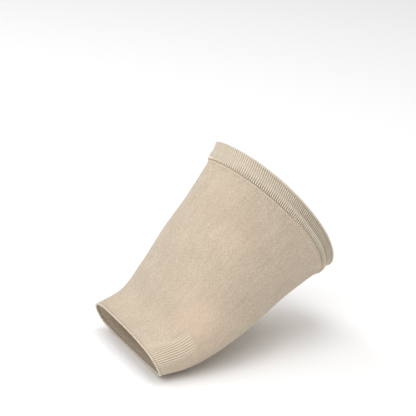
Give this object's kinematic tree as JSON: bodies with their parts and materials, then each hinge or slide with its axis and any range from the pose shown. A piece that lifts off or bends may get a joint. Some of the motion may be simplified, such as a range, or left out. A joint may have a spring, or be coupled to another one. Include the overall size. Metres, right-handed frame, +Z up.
{
  "type": "arch support sleeve",
  "caption": "Knitted compression sleeve for the middle of the foot, with a doubled ribbed cuff at the ankle end, a thin turned edge at the toe end and an open hollow from end to end.",
  "frame": {"origin": "middle of the hollow that the foot fills, halfway along the sleeve and halfway up its section", "axes": "+X from the toe opening towards the heel, +Z up, -Y the outer side of a left foot; the sole rises towards the heel as on a raised heel"},
  "size_m": [0.1319, 0.088, 0.1196],
  "materials": {
    "knit": "fine matt beige jersey knit",
    "cuff_rib": "matt beige rib knit, doubled",
    "edge": "matt pale beige turned edge",
    "thread": "matt beige sewing thread"
  },
  "bodies": {
    "root": {"knit_sleeve": "knit", "ankle_cuff": "cuff_rib", "toe_edge": "edge"}
  },
  "joints": []
}
